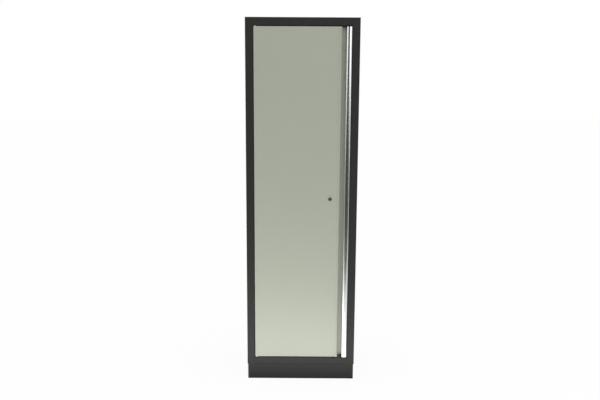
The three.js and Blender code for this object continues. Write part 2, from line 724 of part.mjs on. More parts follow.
// Handle channel: a rim lapped over the door's face and rolled back into a deep U
function handleChannel() {
  const rimFace = -SEAT - HANDLE_SHEET;
  const path = onDoorEdge([
    [CHANNEL_RIGHT, GRIP_WALL_HEAD + SEAT],
    [CHANNEL_RIGHT, CHANNEL_FLOOR],
    [HANDLE_RIM, CHANNEL_FLOOR],
    [HANDLE_RIM, rimFace],
    [0, rimFace],
  ]);
  const section = foldedSheet(path, HANDLE_SHEET, HANDLE_BEND, CHANNEL_STEPS);
  return extrude(section, 'z', DOOR_FOOT, DOOR_HEAD);
}

// Handle grip: a bowed strip with a round tip, and a wall that stands outside the channel's
function handleGrip() {
  const tipArc = arc(
    GRIP_TIP_CENTRE,
    HANDLE_GRIP_THICKNESS / 2,
    GRIP_TIP + Math.PI,
    GRIP_TIP + 2 * Math.PI,
    CHANNEL_STEPS,
  );
  const outline = [
    ...arc(GRIP_CENTRE, GRIP_UNDER, GRIP_WALL_ANGLE, GRIP_TIP, GRIP_STEPS),
    ...tipArc.slice(1, -1),
    ...arc(GRIP_CENTRE, GRIP_RADIUS, GRIP_TIP, GRIP_TIP + 2 * GRIP_HALF_ANGLE, GRIP_STEPS),
    [HANDLE_WIDTH, HANDLE_GRIP_WALL_DEPTH],
    [GRIP_WALL, HANDLE_GRIP_WALL_DEPTH],
  ];
  return extrude(polygon(onDoorEdge(outline)), 'z', DOOR_FOOT, DOOR_HEAD);
}

// Handle caps: plugs that close the channel at its two ends
function handleCap(foot) {
  const mouth = GRIP_TIP_CENTRE[1] + HANDLE_GRIP_THICKNESS / 2 + SEAT;
  const corner = HANDLE_BEND - SEAT;
  const back = CHANNEL_FLOOR - HANDLE_BEND;
  const outline = [
    [HANDLE_RIM + SEAT, mouth],
    ...arc([HANDLE_RIM + HANDLE_BEND, back], corner, Math.PI, Math.PI / 2, CHANNEL_STEPS),
    ...arc([CHANNEL_RIGHT - HANDLE_BEND, back], corner, Math.PI / 2, 0, CHANNEL_STEPS),
    [CHANNEL_RIGHT - SEAT, mouth],
  ];
  return extrude(polygon(onDoorEdge(outline)), 'z', foot, foot + HANDLE_CAP_THICKNESS);
}

// Lock barrel: bezel on the door's face and threaded barrel through it, bored for the plug
function lockBarrel() {
  const bore = LOCK_PLUG_RADIUS + LOCK_PLUG_PLAY;
  const profile = [
    [bore, -LOCK_PROUD],
    [LOCK_BEZEL_RADIUS - LOCK_BEZEL_CHAMFER, -LOCK_PROUD],
    [LOCK_BEZEL_RADIUS, LOCK_BEZEL_CHAMFER - LOCK_PROUD],
    [LOCK_BEZEL_RADIUS, -SEAT],
    [LOCK_BARREL_RADIUS, -SEAT],
    [LOCK_BARREL_RADIUS, LOCK_BARREL_LENGTH],
    [bore, LOCK_BARREL_LENGTH],
    [bore, -LOCK_PROUD],
  ];
  return turned(profile, 'y', [LOCK_X, FRONT, LOCK_Z]);
}

function lockNut() {
  const radius = LOCK_NUT_FLATS / Math.sqrt(3);
  const hexagon = polygon(arc([LOCK_X, LOCK_Z], radius, 0, 2 * Math.PI, 6).slice(1));
  const bore = LOCK_BARREL_RADIUS + SEAT;
  const back = SKIN_INNER + LOCK_NUT_THICKNESS;
  const hole = roundBar(bore, 'y', SKIN_INNER - CUT_PAST, back + CUT_PAST, [LOCK_X, LOCK_Z]);
  return cut(extrude(hexagon, 'y', SKIN_INNER, back), hole);
}

// Lock plug: turns in the barrel, slotted for the key and squared at its back for the driver
function squareOnLock(half, limitsY) {
  return block([LOCK_X - half, LOCK_X + half], limitsY, [LOCK_Z - half, LOCK_Z + half]);
}

function lockPlug() {
  const face = FRONT - LOCK_PROUD + LOCK_PLUG_RECESS;
  const shoulder = FRONT + LOCK_BARREL_LENGTH;
  const round = roundBar(LOCK_PLUG_RADIUS, 'y', face, shoulder, [LOCK_X, LOCK_Z]);
  const square = squareOnLock(LOCK_PLUG_SQUARE / 2, [shoulder - CUT_PAST, DRIVER_BACK]);
  const keySlot = block(
    [LOCK_X - KEY_SLOT_WIDTH / 2, LOCK_X + KEY_SLOT_WIDTH / 2],
    [face - CUT_PAST, face + KEY_SLOT_DEPTH],
    [LOCK_Z - KEY_SLOT_HEIGHT / 2, LOCK_Z + KEY_SLOT_HEIGHT / 2],
  );
  const screwEnd = DRIVER_BACK - DRIVER_SCREW_LENGTH - SEAT;
  const screwRoom = DRIVER_SCREW_RADIUS + SEAT;
  const screwHole = roundBar(screwRoom, 'y', screwEnd, DRIVER_BACK + CUT_PAST, [LOCK_X, LOCK_Z]);
  return cut(join(round, square), keySlot, screwHole);
}

// Driver: a bar on the plug's square end with one pin for each rod
const UPPER_PIN = [LOCK_X - PIN_NEAR, LOCK_Z - PIN_RISE];
const LOWER_PIN = [LOCK_X + PIN_NEAR, LOCK_Z + PIN_RISE];

function lockDriver() {
  const outline = polygon(stadium(UPPER_PIN, LOWER_PIN, DRIVER_HALF_WIDTH));
  const bar = extrude(outline, 'y', DRIVER_FRONT, DRIVER_BACK);
  const hole = squareOnLock(LOCK_PLUG_SQUARE / 2 + SEAT, [DRIVER_FRONT - CUT_PAST, DRIVER_BACK + CUT_PAST]);
  const pins = [UPPER_PIN, LOWER_PIN].map((centre) => roundBar(
    DRIVER_PIN_RADIUS,
    'y',
    DRIVER_BACK - CUT_PAST,
    ROD_BACK + DRIVER_PIN_SPARE,
    centre,
  ));
  return cut(join(bar, ...pins), hole);
}

function driverScrew() {
  const head = DRIVER_BACK + SEAT;
  const profile = [
    [0, DRIVER_BACK - DRIVER_SCREW_LENGTH],
    [DRIVER_SCREW_RADIUS, DRIVER_BACK - DRIVER_SCREW_LENGTH],
    [DRIVER_SCREW_RADIUS, head],
    [DRIVER_SCREW_HEAD_RADIUS, head],
    [DRIVER_SCREW_HEAD_RADIUS, head + DRIVER_SCREW_HEAD / 2],
    [DRIVER_SCREW_HEAD_RADIUS - DRIVER_SCREW_HEAD / 2, head + DRIVER_SCREW_HEAD],
    [0, head + DRIVER_SCREW_HEAD],
  ];
  return turned(profile, 'y', [LOCK_X, 0, LOCK_Z]);
}

// Lock rods: flat bars with a cross-slotted paddle round their pin and a chamfered tip
function lockRod(away, [pinX, pinZ], end) {
  const slotRadius = DRIVER_PIN_RADIUS + DRIVER_PIN_PLAY;
  const x = LOCK_X - away * ROD_OFFSET;
  const paddleHalf = (DRIVER_PIN_REACH - PIN_NEAR) / 2 + slotRadius + PADDLE_WALL;
  const paddleFoot = pinZ - away * (slotRadius + PADDLE_WALL);
  const paddleHead = pinZ + away * (slotRadius + PADDLE_WALL);
  const neck = paddleHead + away * PADDLE_NECK;
  const half = ROD_WIDTH / 2;
  const rightSide = [
    [paddleHalf, paddleFoot],
    [paddleHalf, paddleHead],
    [half, neck],
    [half, end - away * ROD_TIP_CHAMFER],
    [half - ROD_TIP_CHAMFER, end],
  ];
  const leftSide = rightSide.map(([across, z]) => [-across, z]).reverse();
  const outline = polygon([...rightSide, ...leftSide].map(([across, z]) => [x + across, z]));
  const farX = LOCK_X - away * DRIVER_PIN_REACH;
  const slot = extrude(
    polygon(stadium([pinX, pinZ], [farX, pinZ], slotRadius)),
    'y',
    ROD_FRONT - CUT_PAST,
    ROD_BACK + CUT_PAST,
  );
  return cut(extrude(outline, 'y', ROD_FRONT, ROD_BACK), slot);
}

// Rod guides: angles on the door skin with a window that a rod slides in
function rodGuide(x, z) {
  const reach = ROD_BACK + ROD_PLAY + 2 * GUIDE_SHEET;
  const section = foldedSheet([[SKIN_INNER, z - GUIDE_FOOT], [SKIN_INNER, z], [reach, z]], GUIDE_SHEET);
  const angle = extrude(section, 'x', x - GUIDE_WIDTH / 2, x + GUIDE_WIDTH / 2);
  return cut(angle, rodHole(x, ROD_PLAY, [z - GUIDE_SHEET - CUT_PAST, z + CUT_PAST]));
}

// Rubber buffers and magnetic catch on the stop lip, and the strike plate on the handle's back
const STOP_X = OPENING_HALF - STOP_LIP + STOP_PIECE_FROM_LIP_EDGE;
const STOP_SEAT = STOP_FACE - SEAT;
const STRIKE_BACK = FRONT + HANDLE_DEPTH + SEAT + STRIKE_THICKNESS;
const MAGNET_Z = LOCK_Z + MAGNET_ABOVE_LOCK;

function doorBuffer(z) {
  const face = STOP_SEAT - BUFFER_THICKNESS;
  const profile = [
    [0, face],
    [BUFFER_RADIUS - BUFFER_CHAMFER, face],
    [BUFFER_RADIUS, face + BUFFER_CHAMFER],
    [BUFFER_RADIUS, STOP_SEAT],
    [0, STOP_SEAT],
  ];
  return turned(profile, 'y', [STOP_X, 0, z]);
}

function catchPlate(from, to) {
  const reach = (MAGNET_HEIGHT - MAGNET_WIDTH) / 2;
  const outline = stadium([STOP_X, MAGNET_Z - reach], [STOP_X, MAGNET_Z + reach], MAGNET_WIDTH / 2);
  return extrude(polygon(outline), 'y', from, to);
}

// Cabinet: everything that stands still
const cabinet = new THREE.Group();
cabinet.add(
  piece('left_side_panel', sidePanel(WALL_PATH), charcoalPaint),
  piece('right_side_panel', sidePanel(mirrored(WALL_PATH)), charcoalPaint),
  piece('back_panel', backPanel(), charcoalPaint),
  piece('top_panel', topPanel(), charcoalPaint),
  piece('floor_panel', floorPanel(), charcoalPaint),
  piece('plinth_front_rail', plinthLongRail(PLINTH_FRONT, 1), charcoalPaint),
  piece('plinth_back_rail', plinthLongRail(PLINTH_BACK, -1), charcoalPaint),
  piece('plinth_left_rail', plinthEndRail(PLINTH_END_PATH), charcoalPaint),
  piece('plinth_right_rail', plinthEndRail(mirrored(PLINTH_END_PATH)), charcoalPaint),
  piece('hinge_pin_top', topHingePin(), zincSteel),
  piece('hinge_pin_bottom', bottomHingePin(), zincSteel),
  piece('door_buffer_top', doorBuffer(DOOR_HEAD - BUFFER_FROM_DOOR_END), blackRubber),
  piece('door_buffer_bottom', doorBuffer(DOOR_FOOT + BUFFER_FROM_DOOR_END), blackRubber),
  piece('catch_magnet', catchPlate(STRIKE_BACK + SEAT, STOP_SEAT), blackPlastic),
);

const CORNERS = [
  ['front_left', -1, FRONT_UPRIGHT_Y],
  ['front_right', 1, FRONT_UPRIGHT_Y],
  ['rear_left', -1, REAR_UPRIGHT_Y],
  ['rear_right', 1, REAR_UPRIGHT_Y],
];
CORNERS.forEach(([corner, side, y]) => {
  cabinet.add(piece(`shelf_upright_${corner}`, upright(side, y), charcoalPaint));
});
for (let index = 0; index < SHELF_COUNT; index += 1) {
  cabinet.add(shelf(index));
  CORNERS.forEach(([corner, side, y]) => {
    cabinet.add(piece(`shelf_clip_${index + 1}_${corner}`, shelfClip(side, y, index), zincSteel));
  });
}

// Door: everything that swings with it
const door = new THREE.Group();
const UPPER_ROD_X = LOCK_X - ROD_OFFSET;
const LOWER_ROD_X = LOCK_X + ROD_OFFSET;
door.add(
  piece('door_skin', doorSkin(), silverPaint),
  piece('door_stiffener', doorStiffener(), silverPaint),
  piece('handle_channel', handleChannel(), silverPaint),
  piece('handle_grip', handleGrip(), brightAluminium),
  piece('handle_cap_top', handleCap(DOOR_HEAD - HANDLE_CAP_THICKNESS), blackPlastic),
  piece('handle_cap_bottom', handleCap(DOOR_FOOT), blackPlastic),
  piece('hinge_bracket_top', hingeBracket(1), zincSteel),
  piece('hinge_bracket_bottom', hingeBracket(-1), zincSteel),
  piece('hinge_bush_top', topHingeBush(), whiteNylon),
  piece('hinge_bush_bottom', bottomHingeBush(), whiteNylon),
  piece('rod_guide_upper_end', rodGuide(UPPER_ROD_X, DOOR_HEAD - GUIDE_FROM_DOOR_END), zincSteel),
  piece('rod_guide_upper_inner', rodGuide(UPPER_ROD_X, LOCK_Z + GUIDE_FROM_LOCK), zincSteel),
  piece('rod_guide_lower_inner', rodGuide(LOWER_ROD_X, LOCK_Z - GUIDE_FROM_LOCK), zincSteel),
  piece('rod_guide_lower_end', rodGuide(LOWER_ROD_X, DOOR_FOOT + GUIDE_FROM_DOOR_END), zincSteel),
  piece('lock_barrel', lockBarrel(), darkNickel),
  piece('lock_nut', lockNut(), zincSteel),
  piece('catch_strike', catchPlate(FRONT + HANDLE_DEPTH + SEAT, STRIKE_BACK), zincSteel),
);

// Lock: the plug and driver turn by LOCK_TURN, and each rod runs out by twice PIN_RISE
const lock = new THREE.Group();
lock.add(
  piece('lock_plug', lockPlug(), darkNickel),
  piece('lock_driver', lockDriver(), zincSteel),
  piece('driver_screw', driverScrew(), zincSteel),
);

const rods = new THREE.Group();
rods.add(
  piece('upper_lock_rod', lockRod(1, UPPER_PIN, DOOR_HEAD - ROD_END_INSET), zincSteel),
  piece('lower_lock_rod', lockRod(-1, LOWER_PIN, DOOR_FOOT + ROD_END_INSET), zincSteel),
);
door.add(lock, rods);

const locker = new THREE.Group();
locker.add(cabinet, door);

export default locker;
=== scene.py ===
import math

import bmesh
import bpy
from mathutils import Matrix, Vector


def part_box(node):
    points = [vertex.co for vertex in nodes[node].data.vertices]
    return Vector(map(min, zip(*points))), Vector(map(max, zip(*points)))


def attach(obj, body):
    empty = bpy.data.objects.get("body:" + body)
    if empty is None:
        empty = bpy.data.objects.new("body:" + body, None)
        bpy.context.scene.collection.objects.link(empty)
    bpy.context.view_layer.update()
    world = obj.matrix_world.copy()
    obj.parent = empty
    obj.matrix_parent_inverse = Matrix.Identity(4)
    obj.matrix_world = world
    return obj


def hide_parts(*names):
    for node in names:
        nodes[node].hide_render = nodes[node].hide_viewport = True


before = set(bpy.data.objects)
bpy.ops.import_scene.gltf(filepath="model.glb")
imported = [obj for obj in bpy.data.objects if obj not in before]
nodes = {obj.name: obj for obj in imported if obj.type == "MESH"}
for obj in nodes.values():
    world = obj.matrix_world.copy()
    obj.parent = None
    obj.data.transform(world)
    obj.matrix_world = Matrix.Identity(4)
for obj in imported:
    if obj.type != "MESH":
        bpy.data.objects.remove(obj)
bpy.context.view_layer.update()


# Plinth: four channels of folded sheet steel, spot-welded into a frame that the carcass stands on.
# It is sprayed with charcoal powder that bakes into a satin, faintly pebbled skin.
MM = 0.001
CHARCOAL = (0.0258, 0.0258, 0.0249, 1)
CHARCOAL_ROUGHNESS = 0.48
CHARCOAL_SHINE = 0.2
COAT_COLOUR_DRIFT = 0.02
COAT_CLOUD_SCALE = 2.5
COAT_ROUGHNESS_DRIFT = 0.03
COAT_GLOSS_SCALE = 300
COAT_PEBBLE_SCALE = 500
COAT_PEBBLE = 0.3
COAT_PEBBLE_DEPTH = 0.2 * MM
NOISE_LOW = 0.3
NOISE_HIGH = 0.7
ROUND_BEND = math.radians(40)
MERGE_REACH = 0.01 * MM
FLAT_FACE_WEIGHT = 100


def add_node(tree, kind, **values):
    node = tree.nodes.new(kind)
    for name, value in values.items():
        node.inputs[name.replace("_", " ")].default_value = value
    return node


def shader_of(name):
    material = bpy.data.materials.new(name)
    material.use_nodes = True
    tree = material.node_tree
    return material, tree, tree.nodes["Principled BSDF"]


def grain(tree, stretch=(1, 1, 1), **noise):
    place = tree.nodes.new("ShaderNodeTexCoord")
    spread = add_node(tree, "ShaderNodeMapping", Scale=stretch)
    cloud = add_node(tree, "ShaderNodeTexNoise", **noise)
    tree.links.new(place.outputs["Object"], spread.inputs["Vector"])
    tree.links.new(spread.outputs["Vector"], cloud.inputs["Vector"])
    return cloud.outputs["Fac"]


def tint(tree, amount, dark, pale, shader):
    mix = tree.nodes.new("ShaderNodeMix")
    mix.data_type = "RGBA"
    mix.inputs["A"].default_value = dark
    mix.inputs["B"].default_value = pale
    tree.links.new(amount, mix.inputs["Factor"])
    tree.links.new(mix.outputs["Result"], shader.inputs["Base Color"])


def vary_roughness(tree, amount, middle, drift, shader):
    span = add_node(
        tree, "ShaderNodeMapRange",
        From_Min=NOISE_LOW, From_Max=NOISE_HIGH, To_Min=middle - drift, To_Max=middle + drift,
    )
    tree.links.new(amount, span.inputs["Value"])
    tree.links.new(span.outputs["Result"], shader.inputs["Roughness"])


def raise_grain(tree, amount, strength, depth, shader):
    bump = add_node(tree, "ShaderNodeBump", Strength=strength, Distance=depth)
    tree.links.new(amount, bump.inputs["Height"])
    tree.links.new(bump.outputs["Normal"], shader.inputs["Normal"])


def powder_coat(name, colour, roughness, shine):
    material, tree, shader = shader_of(name)
    darker = [(1 - COAT_COLOUR_DRIFT) * part for part in colour[:3]] + [1]
    paler = [(1 + COAT_COLOUR_DRIFT) * part for part in colour[:3]] + [1]
    clouds = grain(tree, Scale=COAT_CLOUD_SCALE, Detail=4)
    gloss = grain(tree, Scale=COAT_GLOSS_SCALE, Detail=3)
    pebbles = grain(tree, Scale=COAT_PEBBLE_SCALE, Detail=2)
    tint(tree, clouds, darker, paler, shader)
    vary_roughness(tree, gloss, roughness, COAT_ROUGHNESS_DRIFT, shader)
    shader.inputs["Specular IOR Level"].default_value = shine
    raise_grain(tree, pebbles, COAT_PEBBLE, COAT_PEBBLE_DEPTH, shader)
    return material


charcoal = powder_coat("charcoal_powder_coat", CHARCOAL, CHARCOAL_ROUGHNESS, CHARCOAL_SHINE)


def finished(bm, name, body, material, slot, *stands_for):
    mesh = bpy.data.meshes.new(name)
    bm.to_mesh(mesh)
    bm.free()
    piece = bpy.data.objects.new(name, mesh)
    bpy.context.scene.collection.objects.link(piece)
    mesh.materials.append(material)
    even = piece.modifiers.new("even_shading", "WEIGHTED_NORMAL")
    even.weight = FLAT_FACE_WEIGHT
    even.keep_sharp = True
    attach(piece, body)
    if stands_for:
        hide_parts(*stands_for)


def smooth_faces(bm):
    for face in bm.faces:
        face.smooth = True


def round_bends(bm):
    smooth_faces(bm)
    for edge in bm.edges:
        edge.smooth = edge.calc_face_angle(math.pi) < ROUND_BEND


def sheet_piece(node, body, material, slot):
    bm = bmesh.new()
    bm.from_mesh(nodes[node].data)
    bmesh.ops.remove_doubles(bm, verts=bm.verts, dist=MERGE_REACH)
    round_bends(bm)
    finished(bm, "coated_" + node, body, material, slot, node)


for side in ("front", "back", "left", "right"):
    sheet_piece(f"plinth_{side}_rail", "cabinet", charcoal, "charcoal_paint")


# Carcass: side walls, top and floor are each folded from one sheet, and their folds form the front frame.
# The flat back is spot-welded to the flanges behind it, and the whole is powder-coated in one go.
for panel in ("left_side_panel", "right_side_panel", "top_panel", "floor_panel", "back_panel"):
    sheet_piece(panel, "cabinet", charcoal, "charcoal_paint")


# Seam welds: a ground bead in each seam where the front frame's rails butt against the stiles, and a
# long one inside, where the back panel stands on the floor panel. They lie beneath the same paint, and
# the front ones just under the frame's face.
BEAD_RADIUS = 1.5 * MM
BEAD_DEPTH = 1.65 * MM
BEAD_FROM_MIDDLE = 259.9 * MM
BEAD_END = 0.6 * MM
BEAD_SIDES = 16
BACK_BEAD_LENGTH = 560 * MM
BACK_BEAD_LAP = 0.3 * MM
POLE_REACH = 0.001 * MM
QUARTER_ARC = [math.radians(angle) for angle in range(0, 91, 15)]
UNTURNED = Matrix.Identity(4)
ALONG_WIDTH = Matrix.Rotation(math.pi / 2, 4, "Y")


def turned(bm, profile, steps):
    bmesh.ops.spin(
        bm, geom=profile, cent=(0, 0, 0), axis=(0, 0, 1), angle=math.tau, steps=steps, use_merge=True,
    )
    bmesh.ops.remove_doubles(bm, verts=bm.verts, dist=POLE_REACH)
    bmesh.ops.recalc_face_normals(bm, faces=bm.faces)


def chain(bm, points):
    corners = [bm.verts.new(point) for point in points]
    return corners + [bm.edges.new(pair) for pair in zip(corners, corners[1:])]


def weld_bead(name, start, length, turn):
    bm = bmesh.new()
    arc = [(BEAD_RADIUS * math.sin(a), BEAD_RADIUS * (1 - math.cos(a))) for a in QUARTER_ARC]
    profile = [(x, 0, z) for x, z in arc] + [(x, 0, length - z) for x, z in reversed(arc)]
    turned(bm, chain(bm, profile), BEAD_SIDES)
    smooth_faces(bm)
    bm.transform(Matrix.Translation(start) @ turn)
    finished(bm, name, "cabinet", charcoal, "charcoal_paint")


frame_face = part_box("left_side_panel")[0].y
for end, panel in (("top", "top_panel"), ("bottom", "floor_panel")):
    rail_low, rail_high = (corner.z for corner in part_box(panel))
    for side, across in (("left", -BEAD_FROM_MIDDLE), ("right", BEAD_FROM_MIDDLE)):
        start = (across, frame_face + BEAD_DEPTH, rail_low + BEAD_END)
        length = rail_high - rail_low - 2 * BEAD_END
        weld_bead(f"corner_weld_{end}_{side}", start, length, UNTURNED)
back_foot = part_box("back_panel")[0]
start = (-BACK_BEAD_LENGTH / 2, back_foot.y - BACK_BEAD_LAP, back_foot.z)
weld_bead("back_foot_weld", start, BACK_BEAD_LENGTH, ALONG_WIDTH)


# Shelving: slotted uprights welded inside the side walls, and folded trays that lie on four clips each.
# Uprights and trays wear the carcass's paint, and the clips are bent from zinc-plated strip.
SHELF_COUNT = 4
CORNERS = ("front_left", "front_right", "rear_left", "rear_right")
ZINC = (0.56, 0.57, 0.56, 1)
ZINC_SHADE = (0.43, 0.44, 0.42, 1)
ZINC_ROUGHNESS = 0.36
PLATE_CLOUD_SCALE = 60
PLATE_ROUGHNESS_DRIFT = 0.08
PLATE_GLOSS_SCALE = 220
PLATE_GRAIN_SCALE = 900
PLATE_GRAIN = 0.12
PLATE_GRAIN_DEPTH = 0.05 * MM


def plated(name, shade, light, roughness):
    material, tree, shader = shader_of(name)
    shader.inputs["Metallic"].default_value = 1
    clouds = grain(tree, Scale=PLATE_CLOUD_SCALE, Detail=5)
    gloss = grain(tree, Scale=PLATE_GLOSS_SCALE, Detail=3)
    fine = grain(tree, Scale=PLATE_GRAIN_SCALE, Detail=2)
    tint(tree, clouds, shade, light, shader)
    vary_roughness(tree, gloss, roughness, PLATE_ROUGHNESS_DRIFT, shader)
    raise_grain(tree, fine, PLATE_GRAIN, PLATE_GRAIN_DEPTH, shader)
    return material


zinc = plated("zinc_plate", ZINC_SHADE, ZINC, ZINC_ROUGHNESS)


def finish_node(node, material):
    nodes[node].material_slots[0].material = material


for corner in CORNERS:
    sheet_piece(f"shelf_upright_{corner}", "cabinet", charcoal, "charcoal_paint")
for number in range(1, SHELF_COUNT + 1):
    sheet_piece(f"shelf_{number}", "cabinet", charcoal, "charcoal_paint")
    for corner in CORNERS:
        finish_node(f"shelf_clip_{number}_{corner}", zinc)


# Hinge pins: headed steel pins, dropped through the top rail and pressed up through the floor panel.
# The door turns on them in nylon bushes that sit in its skin and its brackets.
for end in ("top", "bottom"):
    finish_node(f"hinge_pin_{end}", zinc)


# Door stop: two rubber buttons and a magnet in a moulded case, on the lip behind the lock side's stile.
# The back of the door's pull meets the buttons, and a plated strike on it stops just short of the magnet.
RUBBER = (0.012, 0.012, 0.012, 1)
RUBBER_ROUGHNESS = 0.85
RUBBER_PEBBLE = 0.3
BLACK = (0.010, 0.010, 0.010, 1)
BLACK_WORN = (0.016, 0.016, 0.016, 1)
PLASTIC_ROUGHNESS = 0.5
PLASTIC_PEBBLE = 0.2
MOULD_CLOUD_SCALE = 30
MOULD_ROUGHNESS_DRIFT = 0.05
MOULD_GLOSS_SCALE = 120
MOULD_PEBBLE_SCALE = 1500
MOULD_PEBBLE_DEPTH = 0.05 * MM


def moulded(name, dark, pale, roughness, pebble):
    material, tree, shader = shader_of(name)
    clouds = grain(tree, Scale=MOULD_CLOUD_SCALE, Detail=4)
    gloss = grain(tree, Scale=MOULD_GLOSS_SCALE, Detail=2)
    pebbles = grain(tree, Scale=MOULD_PEBBLE_SCALE, Detail=2)
    tint(tree, clouds, dark, pale, shader)
    vary_roughness(tree, gloss, roughness, MOULD_ROUGHNESS_DRIFT, shader)
    raise_grain(tree, pebbles, pebble, MOULD_PEBBLE_DEPTH, shader)
    return material


rubber = moulded("black_rubber", RUBBER, BLACK_WORN, RUBBER_ROUGHNESS, RUBBER_PEBBLE)
black_plastic = moulded("black_plastic", BLACK, BLACK_WORN, PLASTIC_ROUGHNESS, PLASTIC_PEBBLE)
for end in ("top", "bottom"):
    finish_node(f"door_buffer_{end}", rubber)
finish_node("catch_magnet", black_plastic)
finish_node("catch_strike", zinc)


# Door: one sheet folded back on four sides with soft edges, and a hat-section stiffener up its middle.
# It wears a pale silver-grey powder coat with a slight green cast.
SILVER = (0.385, 0.409, 0.341, 1)
SILVER_ROUGHNESS = 0.42
SILVER_SHINE = 0.35
silver = powder_coat("silver_powder_coat", SILVER, SILVER_ROUGHNESS, SILVER_SHINE)
sheet_piece("door_skin", "door", silver, "silver_paint")
sheet_piece("door_stiffener", "door", silver, "silver_paint")


# Spot welds: pairs of round marks where the stiffener's two flanges are welded to the skin.
# The electrode leaves a shallow dimple inside a low rim, and the paint covers it.
WELD_RADIUS = 4 * MM
WELD_RIM_OUTER = 3.4 * MM
WELD_RIM_INNER = 2.8 * MM
WELD_DIMPLE_RADIUS = 2 * MM
WELD_RIM = 0.3 * MM
WELD_DIMPLE = 0.05 * MM
WELD_SIDES = 20
WELD_FROM_EDGE = 7.5 * MM
WELD_FROM_FOOT = 29 * MM
WELD_PITCH = 190 * MM
FLANGE_SHEET = 1.2 * MM


def weld_marks(name, places):
    bm = bmesh.new()
    profile = [
        (0, 0, -WELD_RIM),
        (WELD_RADIUS, 0, -WELD_RIM),
        (WELD_RIM_OUTER, 0, WELD_RIM),
        (WELD_RIM_INNER, 0, WELD_RIM),
        (WELD_DIMPLE_RADIUS, 0, WELD_DIMPLE),
        (0, 0, WELD_DIMPLE),
    ]
    turned(bm, chain(bm, profile), WELD_SIDES)
    bmesh.ops.rotate(bm, matrix=Matrix.Rotation(-math.pi / 2, 3, "X"), verts=bm.verts)
    first = bm.verts[:] + bm.edges[:] + bm.faces[:]
    for place in places[1:]:
        copied = bmesh.ops.duplicate(bm, geom=first)["geom"]
        moved = [part for part in copied if isinstance(part, bmesh.types.BMVert)]
        bmesh.ops.translate(bm, vec=place - places[0], verts=moved)
    bmesh.ops.translate(bm, vec=places[0], verts=bm.verts)
    round_bends(bm)
    finished(bm, name, "door", silver, "silver_paint")


hat_low, hat_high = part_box("door_stiffener")
weld_count = 1 + round((hat_high.z - hat_low.z - 2 * WELD_FROM_FOOT) / WELD_PITCH)
weld_marks("stiffener_spot_welds", [
    Vector((across, hat_low.y + FLANGE_SHEET, hat_low.z + WELD_FROM_FOOT + step * WELD_PITCH))
    for step in range(weld_count)
    for across in (hat_low.x + WELD_FROM_EDGE, hat_high.x - WELD_FROM_EDGE)
])


# Hinge brackets: zinc-plated angles that back up the thin skin in the door's two hinge corners.
# The nylon bushes are moulded, and the top bracket is held to the door's edge by a domed rivet.
NYLON = (0.72, 0.71, 0.64, 1)
NYLON_SHADE = (0.64, 0.63, 0.56, 1)
NYLON_ROUGHNESS = 0.55
NYLON_PEBBLE = 0.15
RIVET_RADIUS = 5 * MM
RIVET_PROUD = 1.8 * MM
RIVET_ROOT = 0.9 * MM
RIVET_SIDES = 32
RIVET_SETBACK = 8.5 * MM
RIVET_BELOW_TOP = 21 * MM
OUT_TO_LEFT = Matrix.Rotation(-math.pi / 2, 4, "Y")
nylon = moulded("natural_nylon", NYLON_SHADE, NYLON, NYLON_ROUGHNESS, NYLON_PEBBLE)
for end in ("top", "bottom"):
    finish_node(f"hinge_bracket_{end}", zinc)
    finish_node(f"hinge_bush_{end}", nylon)


def domed_rivet(name, place, turn):
    bm = bmesh.new()
    root = [(0, 0, -RIVET_ROOT), (RIVET_RADIUS, 0, -RIVET_ROOT)]
    dome = [(RIVET_RADIUS * math.cos(a), 0, RIVET_PROUD * math.sin(a)) for a in QUARTER_ARC]
    turned(bm, chain(bm, root + dome), RIVET_SIDES)
    smooth_faces(bm)
    bm.transform(Matrix.Translation(place) @ turn)
    finished(bm, name, "door", zinc, "zinc_steel")


door_low, door_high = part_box("door_skin")
rivet_place = (door_low.x, door_low.y + RIVET_SETBACK, door_high.z - RIVET_BELOW_TOP)
domed_rivet("hinge_rivet_top", rivet_place, OUT_TO_LEFT)


# Pull channel: sheet steel folded into a deep finger channel along the door's whole edge.
# Its rim laps over the skin and rolls into the channel's wall, and it is sprayed together with the door.
# The section's sizes are in millimetres, from the rim's left edge and the face of the skin.
CHANNEL_SHEET = 1.5
CHANNEL_BEND = 7
CHANNEL_SEAT = 0.3
CHANNEL_DEPTH = 24
CHANNEL_RIGHT = 58.2
CHANNEL_WALL_HEAD = 2.56
RIM_WIDTH = 11
RIM_EDGE = 1
ROLL_STEPS = 16
SECTION_REACH = 0.0001
pull_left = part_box("handle_channel")[0].x


def line_to(bm, corner, point):
    grown = bmesh.ops.extrude_vert_indiv(bm, verts=[corner])["verts"][0]
    grown.co = (*point, 0)
    return grown


def arc_round(bm, corner, centre, degrees, steps=ROLL_STEPS):
    swept = bmesh.ops.spin(
        bm, geom=[corner], cent=(*centre, 0), axis=(0, 0, 1), angle=math.radians(degrees), steps=steps,
    )
    return next(part for part in swept["geom_last"] if isinstance(part, bmesh.types.BMVert))


